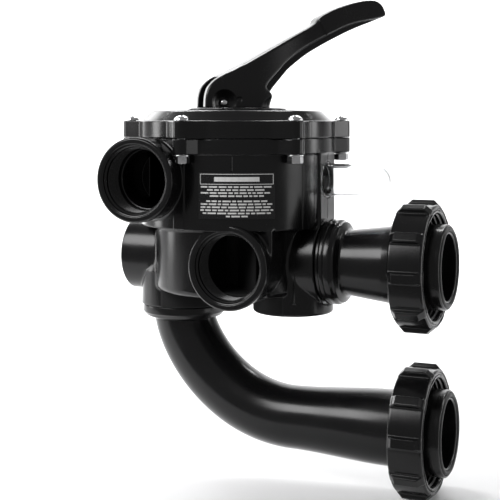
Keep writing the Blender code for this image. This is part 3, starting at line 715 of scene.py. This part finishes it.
def head_field(x, y, z):
    """Domed pan head with a cross recess, seated at z = 0."""
    dome = np.sqrt(x * x + y * y + (z + 3.8) ** 2) - 8.9
    head = carve(cylinder(x, y, z, 7.3, 0, 9, 0.4), -dome, 1.4)
    cross = np.minimum(block(x, y, z, (-3.6, -0.75, 3.2), (3.6, 0.75, 9), 0.3),
                       block(x, y, z, (-0.75, -3.6, 3.2), (0.75, 3.6, 9), 0.3))
    return carve(head, cross, 0.3)


def hex_field(x, y, z):
    """Chamfered hexagon nut, 13 mm across its flats, between z = 0 and 6.4."""
    along = folded(x, y, 0, 6)[0]
    height = np.abs(z - 3.2) - 3.2
    prism = rounded_pair(along - 6.5, height, 0.25)
    corner = (np.hypot(x, y) - 6.9) * 0.5 + (np.abs(z - 3.2) - 3.0) * 0.866
    return carve(carve(prism, -corner, 0.5), cylinder(x, y, z, 4.05, -1, 8, 0.2), 0.4)


def make_fasteners():
    cell = 0.36
    for index in range(6):
        angle = BOLT_FIRST + SIXTH * index
        centre = Vector((BOLT_R * math.cos(angle), BOLT_R * math.sin(angle), 0))
        number = str(index + 1)
        turn = Matrix.Rotation(angle * 2.3 + index, 4, "Z")
        head = moulded("head", head_field, (-8, -8, -1), (8, 8, 6), cell)
        head.data.transform(Matrix.Translation(centre + Vector((0, 0, BOLT_TOP))) @ turn)
        shank = turned("shank", [(0, 95.2), (3.4, 95.2), (4, 95.8), (4, BOLT_TOP + 1),
                                 (0, BOLT_TOP + 1)], 32, centre, edge=0.2)
        place(merged("lid_screw_" + number, head, shank), "valve", STEEL, "steel",
              "cover_screw_" + number)
        washer = turned("lid_washer_" + number,
                        [(BOLT_HOLE_R, BOLT_UNDER - 1.2), (8.2, BOLT_UNDER - 1.2),
                         (8.2, BOLT_UNDER), (BOLT_HOLE_R, BOLT_UNDER)], 48, centre, edge=0.35)
        place(washer, "valve", STEEL, "steel", "cover_washer_" + number)
        nut = moulded("lid_nut_" + number, hex_field, (-8, -8, -1), (8, 8, 7.5), cell)
        nut.data.transform(Matrix.Translation(centre + Vector((0, 0, BOLT_UNDER - 7.9))))
        place(nut, "valve", STEEL, "steel", "cover_nut_" + number)


def slab(name, outline, low, high, matrix):
    """Outline in the local XY plane, extruded between two local heights."""
    bm = bmesh.new()
    bottom = [bm.verts.new(matrix @ Vector((x, y, low))) for x, y in outline]
    top = [bm.verts.new(matrix @ Vector((x, y, high))) for x, y in outline]
    bm.faces.new(list(reversed(bottom)))
    bm.faces.new(top)
    bridge(bm, [bottom, top])
    return from_bmesh(name, bm)


def make_dial():
    """Position plate on the lid: six raised bars and the numbers 1 to 6."""
    low = LID_TOP + 0.3
    high = low + 2
    plate_piece = turned("index_dial", [(16, low), (49, low), (49, high - 0.5), (48, high),
                                        (38, high), (37.6, high - 0.35), (16, high - 0.35)],
                         128, edge=0.3)
    place(plate_piece, "valve", BLACK, "black_plastic", "index_plate")
    marks = []
    for index in range(6):
        angle = HANDLE_ANGLE + SIXTH * index
        turn = Matrix.Rotation(angle, 4, "Z")
        bar = slab("bar", [(39, -0.5), (41.6, -0.5), (41.6, 0.5), (39, 0.5)], high - 0.2,
                   high + 0.12, turn)
        marks.append(bar)
        curve = bpy.data.curves.new("digit", "FONT")
        curve.body = str(index + 1)
        curve.size = 5.2
        curve.extrude = 0.16
        curve.align_x = "CENTER"
        curve.align_y = "CENTER"
        text = bpy.data.objects.new("digit", curve)
        bpy.context.scene.collection.objects.link(text)
        bpy.context.view_layer.update()
        mesh = bpy.data.meshes.new_from_object(text)
        bpy.data.objects.remove(text)
        mesh.transform(turn @ Matrix.Translation((44.8, 0, high))
                       @ Matrix.Rotation(-math.pi / 2, 4, "Z"))
        marks.append(linked("digit", mesh))
    place(merged("dial_numbers", *marks), "valve", INK, "label_film")


# ---------------------------------------------------------------- label

LABEL_ANGLE = math.radians(-66)
LABEL_HALF = 21.5
LABEL_LOW = 45.0
LABEL_HIGH = 87.5
LABEL_INNER = 94.6
LABEL_OUTER = 95.42
HEADER_LOW = 76.5
HEADER_HIGH = 86.2
HEADER_HALF = 20.6
HEADER_LINE = 0.55
ROW_PITCH = 2.75
ROW_HEIGHT = 1.4
ROW_GAP = 2.0
ROW_REACHES = ((20.2, 16.5, 20.2, 15), (17, 20.2, 20.2, 20.4, 19, 6))


def wrapped(name, left, right, low, high, inner, outer):
    """Curved rectangle on the chamber; left and right are degrees from the label's middle."""
    bm = bmesh.new()
    steps = max(1, int((right - left) / 1.0))
    columns = []
    for step in range(steps + 1):
        angle = LABEL_ANGLE + math.radians(left + (right - left) * step / steps)
        column = []
        for radius, height in ((inner, low), (outer, low), (outer, high), (inner, high)):
            column.append(bm.verts.new((radius * math.cos(angle), radius * math.sin(angle),
                                        height)))
        columns.append(column)
    skinned(bm, columns)
    return from_bmesh(name, bm, 50)


def make_label():
    """Plain backing with an outlined header and rows of blank bars in place of lettering."""
    backing = wrapped("label_backing", -LABEL_HALF, LABEL_HALF, LABEL_LOW, LABEL_HIGH,
                      LABEL_INNER, LABEL_OUTER)
    place(backing, "valve", FILM, "label_film", "instruction_label")
    ink = (95.3, 95.5)
    bars = []
    degree = math.degrees(HEADER_LINE / 95.5)
    for low in (HEADER_LOW, HEADER_HIGH - HEADER_LINE):
        bars.append(wrapped("bar", -HEADER_HALF, HEADER_HALF, low, low + HEADER_LINE, *ink))
    for left in (-HEADER_HALF, HEADER_HALF - degree):
        bars.append(wrapped("bar", left, left + degree, HEADER_LOW, HEADER_HIGH, *ink))
    bars.append(wrapped("bar", -12.5, 12.5, 79.2, 83.4, *ink))
    choose = np.random.default_rng(7)
    top = HEADER_LOW - 1.5
    for paragraph in ROW_REACHES:
        for reach in paragraph:
            start = -reach
            while start < reach - 1.2:
                width = min(choose.uniform(1.6, 5.2), reach - start)
                bars.append(wrapped("bar", start, start + width, top - ROW_HEIGHT, top, *ink))
                start += width + 0.75
            top -= ROW_PITCH
        top -= ROW_GAP
    place(merged("label_bars", *bars), "valve", INK, "label_film")


# ---------------------------------------------------------------- lever

PIN_T = -18.0
PIN_Z = 152.2
HUB_LOW = 147.3


def softened(points, rounds=2):
    """Closed outline with its corners cut again and again until they are round."""
    for _ in range(rounds):
        cut = []
        for index, (x, y) in enumerate(points):
            nx, ny = points[(index + 1) % len(points)]
            cut.append((0.8 * x + 0.2 * nx, 0.8 * y + 0.2 * ny))
            cut.append((0.2 * x + 0.8 * nx, 0.2 * y + 0.8 * ny))
        points = cut
    return points


LEVER_TOP = [(153, 240), (156, 243), (152, 252), (146, 256.5), (137, 257.5), (119, 253.5),
             (100, 247), (84, 239), (79, 231), (51, 216), (19, 198.5), (-8, 183), (-8, 165)]
LEVER_UNDER = [(29, 156), (33, 165), (45, 179), (52, 187), (70, 201), (90, 212.5), (119, 227)]
WEB_UNDER = [(22, 160), (27, 172), (40, 185), (48, 193.5), (67, 207.5), (88, 219), (117, 233)]
CHEEK = [(-37.5, 143), (34, 143), (34, 151), (33.5, 157), (30, 163), (22, 168), (12, 176),
         (4, 188), (-14, 182), (-27, 175), (-34.5, 167), (-37, 158)]
GRIP_STEP = Vector((83, 234.5))
GRIP_WAY = Vector((0.8675, 0.497))
GRIP_STANDS_OUT = 2.2
SLOT = [(-45, 140), (14.5, 140), (14.5, 168), (-10, 172), (-45, 190)]


def lever_field(t, side, z):
    """Forked lever: t runs along it from the stem's axis, side across it."""
    web = plate(polygon(t, z, softened(LEVER_UNDER + LEVER_TOP)), side, -8.6, 8.6, 1.6)
    near_hub = np.clip((75 - t) / 60, 0, 1)
    past_step = (t - GRIP_STEP.x) * GRIP_WAY.x + (z - GRIP_STEP.y) * GRIP_WAY.y
    half = 11.6 + 7.4 * near_hub * near_hub * (3 - 2 * near_hub)
    half = half + GRIP_STANDS_OUT * np.clip(past_step / 0.5 + 0.5, 0, 1)
    outline = polygon(t, z, softened(WEB_UNDER + LEVER_TOP))
    outline = blend_in(outline, polygon(t, z, softened(CHEEK)), 5)
    shape = rounded_pair(outline, np.abs(side) - half, 2.4)
    nose = np.hypot(np.maximum(t - 13, 0), side) - 20.6 - 0.04 * np.maximum(z - 148, 0) ** 2
    shape = carve(shape, -nose, 2.2)
    shape = carve(shape, z - HUB_LOW, 0.8)
    shape = blend_in(shape, web, 1.5)
    shape = carve(shape, plate(polygon(t, z, SLOT), side, -9.5, 9.5, 1), 1.2)
    shape = carve(shape, cylinder(t - PIN_T, z - PIN_Z, side, 3.5, -30, 30, 0.2), 0.4)
    outer = np.abs(side)
    dish = np.sqrt((t - PIN_T) ** 2 + (z - PIN_Z) ** 2 + (outer - 33.3) ** 2) - 19
    shape = carve(shape, dish, 0.8)
    shape = carve(shape, cylinder(t - PIN_T, z - PIN_Z, outer, 5, 13.2, 40, 0.3), 0.4)
    shape = carve(shape, cylinder(t, side, z, 16.5, 140, 149.9, 0.4), 0.4)
    return carve(shape, cylinder(t + 3, z - 155, outer, 2.6, 18.4, 40, 0.3), 0.6)


def make_lever():
    cell = 0.8
    turn = Matrix.Rotation(HANDLE_ANGLE, 4, "Z")
    lever = moulded("lever_moulding", lever_field, (-40, -22, 145.5), (159, 22, 260), cell, turn)
    place(lever, "handle", BLACK_HANDLE, "handle_plastic", "handle")
    pin_centre = turn @ Vector((PIN_T, 0, PIN_Z))
    pin = turned("lever_pin", [(0, -17.5), (2.4, -17.3), (3.2, -16.4), (3.2, 16.4), (2.4, 17.3),
                               (0, 17.5)], 48, pin_centre, turn @ Vector((0, 1, 0)), 0.3)
    place(pin, "rotor", STEEL, "steel", "handle_pin")


# ---------------------------------------------------------------- sight glass

def make_sight_glass():
    """Clear domed cup with a small flange at its open end."""
    outer = 15.5
    inner = 13.5
    shoulder = 142.5
    profile = [(inner, 92.2), (17.2, 92.2), (17.2, 95.2), (outer + 0.3, 95.6)]
    for step in range(16):
        angle = math.pi / 2 * step / 16
        profile.append((outer * math.cos(angle), shoulder + outer * math.sin(angle)))
    profile += [(0, shoulder + outer), (0, shoulder + inner)]
    for step in range(15, -1, -1):
        angle = math.pi / 2 * step / 16
        profile.append((inner * math.cos(angle), shoulder + inner * math.sin(angle)))
    cup = turned("sight_cup", profile, 96, (0, 0, 78), (1, 0, 0), 0.25)
    place(cup, "valve", CLEAR, "clear_plastic", "sight_glass")


# ---------------------------------------------------------------- unions and pipes

PIPE_END = 176.2
UPPER_NUT_FIRST = math.radians(184.5)
LOWER_NUT_FIRST = math.radians(177.5)


def make_upper_pipe():
    profile = [(27, 85), (35.6, 85), (35.6, 95.3), (38, 95.3), (38, 98.6), (40.5, 99.6),
               (40.5, 103.2), (39.7, 103.8), (40.5, 104.4), (40.5, 109.4), (38.4, 111.4),
               (38.4, 113.6), (33, 115.4), (30.9, 117.4), (36, 158), (36, PIPE_END),
               (30.5, PIPE_END), (30.5, 158), (27, 120)]
    pipe = turned("upper_pipe", profile, 128, (0, 0, 0), (1, 0, 0), 0.9)
    place(pipe, "valve", BLACK, "black_plastic", "upper_union_pipe")


def elbow_centres():
    """Centre line of the bend and the straight run out to the lower union."""
    corners = [Vector((-58, 0, -58)), Vector((-54, 0, -90)), Vector((-10, 0, LOWER_Z)),
               Vector((62, 0, LOWER_Z))]
    centres = [Vector((-58, 0, -50))]
    stations = 48
    for step in range(stations + 1):
        share = step / stations
        rest = 1 - share
        weights = (rest ** 3, 3 * rest ** 2 * share, 3 * rest * share ** 2, share ** 3)
        total = Vector((0, 0, 0))
        for weight, corner in zip(weights, corners):
            total += weight * corner
        centres.append(total)
    for x in range(70, 177, 6):
        centres.append(Vector((x, 0, LOWER_Z)))
    centres.append(Vector((PIPE_END, 0, LOWER_Z)))
    return centres


def make_elbow():
    centres = elbow_centres()
    bm = bmesh.new()
    around_count = 112
    rings = []
    for index, centre in enumerate(centres):
        before = centres[max(index - 1, 0)]
        after = centres[min(index + 1, len(centres) - 1)]
        along = (after - before).normalized()
        up = Vector((0, 1, 0)).cross(along).normalized()
        flare = min(max((centre.x - 62) / 96, 0), 1)
        outer = 30 + 5 * flare * flare * (3 - 2 * flare)
        loops = []
        for radius in (outer, min(outer - 4, 30.5)):
            loop = []
            for step in range(around_count):
                angle = 2 * math.pi * step / around_count
                spoke = Vector((0, 1, 0)) * math.cos(angle) + up * math.sin(angle)
                loop.append(bm.verts.new(centre + spoke * radius))
            loops.append(loop)
        rings.append(loops)
    for side in (0, 1):
        bridge(bm, [loops[side] for loops in rings])
    for end in (rings[0], rings[-1]):
        bridge(bm, end)
    bend = from_bmesh("bend", bm)
    profile = [(26, -38), (35.6, -38), (35.6, -49), (41.5, -49), (41.5, -56.5), (40.4, -57.3),
               (38, -60.5), (33, -61.8), (29, -64.5), (26, -64.5)]
    collar = turned("collar", profile, 128, (-58, 0, 0), edge=0.9)
    place(merged("elbow_pipe", bend, collar), "valve", BLACK, "black_plastic",
          "lower_elbow_pipe")


def make_tail(name, height, node):
    profile = [(26, 166), (30.2, 166), (30.2, 176.5), (45, 176.5), (45, 182.6), (43.6, 183.8),
               (42.6, 183.8), (42.6, 188.6), (41.6, 189.4), (39.6, 189.8), (39.4, 190.4),
               (39.4, 211.8), (38.2, 213), (37.2, 213), (37.2, 210.4), (32.6, 210.4),
               (32.6, 213), (31.4, 213), (30.5, 212.2), (30.5, 192), (26, 188)]
    tail = turned(name, profile, 128, (0, 0, height), (1, 0, 0), 0.5)
    place(tail, "valve", BLACK, "black_plastic", node)


def make_union_seal(name, height, node):
    profile = []
    for step in range(20):
        angle = 2 * math.pi * step / 20
        profile.append((34.9 + 1.85 * math.cos(angle), 212.7 + 1.85 * math.sin(angle)))
    seal = turned(name, profile, 96, (0, 0, height), (1, 0, 0), 0)
    place(seal, "valve", RUBBER, "rubber", node)


def nut_field(x, y, z):
    """Ribbed union nut round the X axis, one rib standing along +Y."""
    radius = np.hypot(y, z)
    shape = cylinder(y, z, x, 57, 170, 202, 2.2)
    along, across = folded(y, z, 0, 10)
    end = np.maximum(np.abs(x - 186) - 10.4, 0)
    crown = rounded_pair((along - 61.7 + end) * 0.8, np.abs(x - 186) - 15.6, 1.5)
    rib = rounded_pair(crown, np.abs(across) - 4.8, 1.2)
    shape = blend_in(shape, np.maximum(rib, 45 - along), 2.2)
    shape = carve(shape, cylinder(y, z, x, 37, 165, 205), 0.8)
    shape = carve(shape, cylinder(y, z, x, 49.5, 176, 210, 1.0), 1.6)
    lip = rounded_pair(np.abs(radius - 53.2) - 1.1, 201.3 - x, 0.3)
    return carve(shape, lip, 0.5)


def make_nut(name, height, first, body, node):
    cell = 0.85
    turn = Matrix.Rotation(first, 4, "X")
    nut = moulded("nut", nut_field, (167, -65, -65), (204, 65, 65), cell, turn)
    nut.data.transform(Matrix.Translation((0, 0, height)))
    place(nut, body, BLACK, "black_plastic", node)
    nut.name = name
    ridge = thread(49.5, 1.5, 4.2, 178.5, 200, (0, 0, height), (1, 0, 0), 96)
    ridge.name = name + "_thread"
    place(ridge, body, BLACK, "black_plastic")


def make_unions():
    make_upper_pipe()
    make_elbow()
    for which, height, first in (("upper", 0.0, UPPER_NUT_FIRST),
                                 ("lower", LOWER_Z, LOWER_NUT_FIRST)):
        make_tail(which + "_tail", height, which + "_union_tail")
        make_union_seal(which + "_face_seal", height, which + "_union_o_ring")
        make_nut(which + "_nut", height, first, which + "_nut", which + "_union_nut")


# ---------------------------------------------------------------- inner pieces

def make_spring():
    """Return spring with closed, ground ends."""
    low = 62.3
    high = 122.0
    wire = 2.0
    turns = 8
    steps = 36
    bm = bmesh.new()
    rings = []
    for step in range(turns * steps + 1):
        share = step / (turns * steps)
        angle = 2 * math.pi * step / steps
        eased_share = min(max((share * turns - 1) / (turns - 2), 0), 1)
        height = low + wire + (high - low - 2 * wire) * eased_share
        outward = Vector((math.cos(angle), math.sin(angle), 0))
        loop = []
        for side in range(12):
            phase = 2 * math.pi * side / 12
            point = outward * (18.5 + wire * math.cos(phase))
            point.z = height + wire * math.sin(phase)
            loop.append(bm.verts.new(point))
        rings.append(loop)
    skinned(bm, rings)
    spring = from_bmesh("rotor_spring", bm)
    place(spring, "turning_head", SPRING_STEEL, "spring_steel", "return_spring")
    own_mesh(spring)


def finish_inner_nodes():
    """The pieces whose CAD shape is already right take their finish here."""
    finishes = {"rotor": BLACK_BODY, "spring_washer": STEEL, "handle_thrust_washer": STEEL,
                "bearing_washer": NYLON, "cover_o_ring": RUBBER, "spider_gasket": RUBBER,
                "sight_glass_gasket": RUBBER, "stem_o_ring_lower": RUBBER,
                "stem_o_ring_upper": RUBBER}
    for node, surface in finishes.items():
        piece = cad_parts[node]
        piece.data.materials.clear()
        piece.data.materials.append(surface)


make_lid()
make_fasteners()
make_dial()
make_label()
make_lever()
make_sight_glass()
make_unions()
make_spring()
finish_inner_nodes()


# ---------------------------------------------------------------- floor, light and camera

FLOOR_BELOW = 0.0004
FLOOR_CENTRE_X = -0.16
FLOOR_HALF_WIDTH = 4.5
FLOOR_FRONT = -0.2
FLOOR_BACK = 2.2
FLOOR_BEND = 0.8
BACKDROP_TOP = 3.4
AZIMUTH = math.radians(24)
CAMERA_PLACE = Vector((0.251, -1.041, 0.1367))
LENS = 82.7
SHIFT_X = 0.0254
SHIFT_Y = -0.263


def make_stage():
    """Pale floor from just before the object to a backdrop well behind it, in one sweep."""
    floor_z = CAD_BOX[0].z - FLOOR_BELOW
    bm = bmesh.new()
    profile = [(FLOOR_FRONT, 0.0), (FLOOR_BACK, 0.0)]
    for step in range(1, 25):
        angle = math.pi / 2 * step / 24
        profile.append((FLOOR_BACK + FLOOR_BEND * math.sin(angle),
                        FLOOR_BEND * (1 - math.cos(angle))))
    profile.append((FLOOR_BACK + FLOOR_BEND, BACKDROP_TOP))
    rows = []
    for across in (-FLOOR_HALF_WIDTH, FLOOR_HALF_WIDTH):
        row = []
        for away, height in profile:
            point = Matrix.Rotation(AZIMUTH, 3, "Z") @ Vector((across, away, 0))
            row.append(bm.verts.new((point.x + FLOOR_CENTRE_X, point.y, floor_z + height)))
        rows.append(row)
    for index in range(len(profile) - 1):
        bm.faces.new([rows[0][index], rows[1][index], rows[1][index + 1], rows[0][index + 1]])
    sweep = from_bmesh("floor", bm, 60)
    look = Shading("pale_floor")
    look.colour_between(look.noise(3.0, 2.0), (0.86, 0.86, 0.865), (0.88, 0.88, 0.885))
    look.constants(Roughness=0.6, Specular_IOR_Level=0.2)
    sweep.data.materials.append(look.material)


def soft_light(name, place, aim, width, height, watts):
    data = bpy.data.lights.new(name, "AREA")
    data.shape = "RECTANGLE"
    data.size = width
    data.size_y = height
    data.energy = watts
    lamp = bpy.data.objects.new(name, data)
    bpy.context.scene.collection.objects.link(lamp)
    lamp.location = place
    lamp.rotation_mode = "QUATERNION"
    lamp.rotation_quaternion = (Vector(aim) - Vector(place)).to_track_quat("-Z", "Y")
    return lamp


def around(azimuth, distance, height):
    """Place round the valve; azimuth 0 is where the camera stands, and it grows rightwards."""
    angle = AZIMUTH + math.radians(azimuth)
    return VALVE + Vector((distance * math.sin(angle), -distance * math.cos(angle), height))


def make_lights():
    middle = VALVE + Vector((0.05, 0, 0.02))
    backdrop = around(180, 2.6, 0.4)
    soft_light("left_box", around(-104, 1.3, 0.35), middle, 0.3, 1.0, 6)
    soft_light("right_box", around(98, 1.5, 0.3), middle, 0.25, 1.0, 4.2)
    soft_light("right_front", around(70, 1.4, 0.05), middle, 0.5, 0.8, 2.2)
    soft_light("left_back", around(-146, 1.5, 0.4), middle, 0.5, 1.2, 6)
    soft_light("high_left", around(-58, 1.1, 0.8), middle, 0.8, 0.6, 13)
    soft_light("backdrop_left", around(-150, 1.6, 1.9), backdrop, 1.2, 0.6, 60)
    soft_light("backdrop_right", around(150, 1.6, 1.9), backdrop, 1.2, 0.6, 60)
    world = bpy.data.worlds.new("studio")
    world.use_nodes = True
    background = world.node_tree.nodes["Background"]
    background.inputs["Color"].default_value = (1, 1, 1, 1)
    background.inputs["Strength"].default_value = 0.24
    bpy.context.scene.world = world
    bpy.context.scene.view_settings.view_transform = "Standard"


def make_camera():
    data = bpy.data.cameras.new("camera")
    data.lens = LENS
    data.sensor_width = 36
    data.shift_x = SHIFT_X
    data.shift_y = SHIFT_Y
    data.clip_start = 0.05
    data.clip_end = 30
    camera = bpy.data.objects.new("camera", data)
    bpy.context.scene.collection.objects.link(camera)
    camera.location = CAMERA_PLACE
    ahead = Vector((-math.sin(AZIMUTH), math.cos(AZIMUTH), 0))
    camera.rotation_mode = "QUATERNION"
    camera.rotation_quaternion = ahead.to_track_quat("-Z", "Y")
    bpy.context.scene.camera = camera


make_stage()
make_lights()
make_camera()
